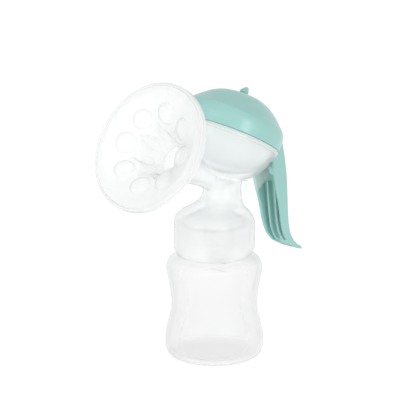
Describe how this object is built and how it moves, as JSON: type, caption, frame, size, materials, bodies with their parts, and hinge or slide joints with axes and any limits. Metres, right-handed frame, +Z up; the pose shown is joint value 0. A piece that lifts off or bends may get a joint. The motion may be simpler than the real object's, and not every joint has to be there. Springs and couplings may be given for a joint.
{
  "type": "manual breast pump",
  "caption": "Manual breast pump: clear feeding bottle and pump body, funnel with a bubbled silicone cushion, and a mint squeeze handle over a diaphragm.",
  "frame": {"origin": "centre of the bottle's base, on the surface it stands on", "axes": "+Z up; the breast shield points to -X and up, the handle hangs at +X; the XZ plane is the plane of symmetry"},
  "size_m": [0.1652, 0.087, 0.1907],
  "materials": {
    "bottle_plastic": "milky clear polypropylene, smooth",
    "clear_plastic": "clear polypropylene, glossy",
    "cushion_silicone": "frosted soft silicone",
    "soft_silicone": "translucent soft silicone",
    "mint_plastic": "mint green polypropylene, satin gloss"
  },
  "bodies": {
    "bottle": {"bottle": "bottle_plastic"},
    "pump": {"pump_body": "clear_plastic", "breast_shield": "clear_plastic", "massage_cushion": "cushion_silicone", "diaphragm": "soft_silicone", "duckbill_valve": "soft_silicone"},
    "handle": {"handle": "mint_plastic"},
    "stem": {"stem": "mint_plastic"}
  },
  "joints": [
    {"name": "collar_unscrew", "type": "hinge", "parent": "bottle", "child": "pump", "pos_m": [0, 0, 0.08], "axis": [0, 0, 1], "range_deg": [0, 270]},
    {"name": "handle_squeeze", "type": "hinge", "parent": "pump", "child": "handle", "pos_m": [0.051, 0, 0.118], "axis": [0, 1, 0], "range_deg": [0, 14], "stiffness_Nm_per_rad": 0.6, "springref_deg": -5.73},
    {"name": "stem_lift", "type": "slide", "parent": "pump", "child": "stem", "axis": [0.5, 0, 0.866], "range_m": [0, 0.0125], "deforming": ["diaphragm"]}
  ],
  "couplings": [
    {"joint": "stem_lift", "follows": "handle_squeeze", "m_per_rad": 0.0505}
  ]
}
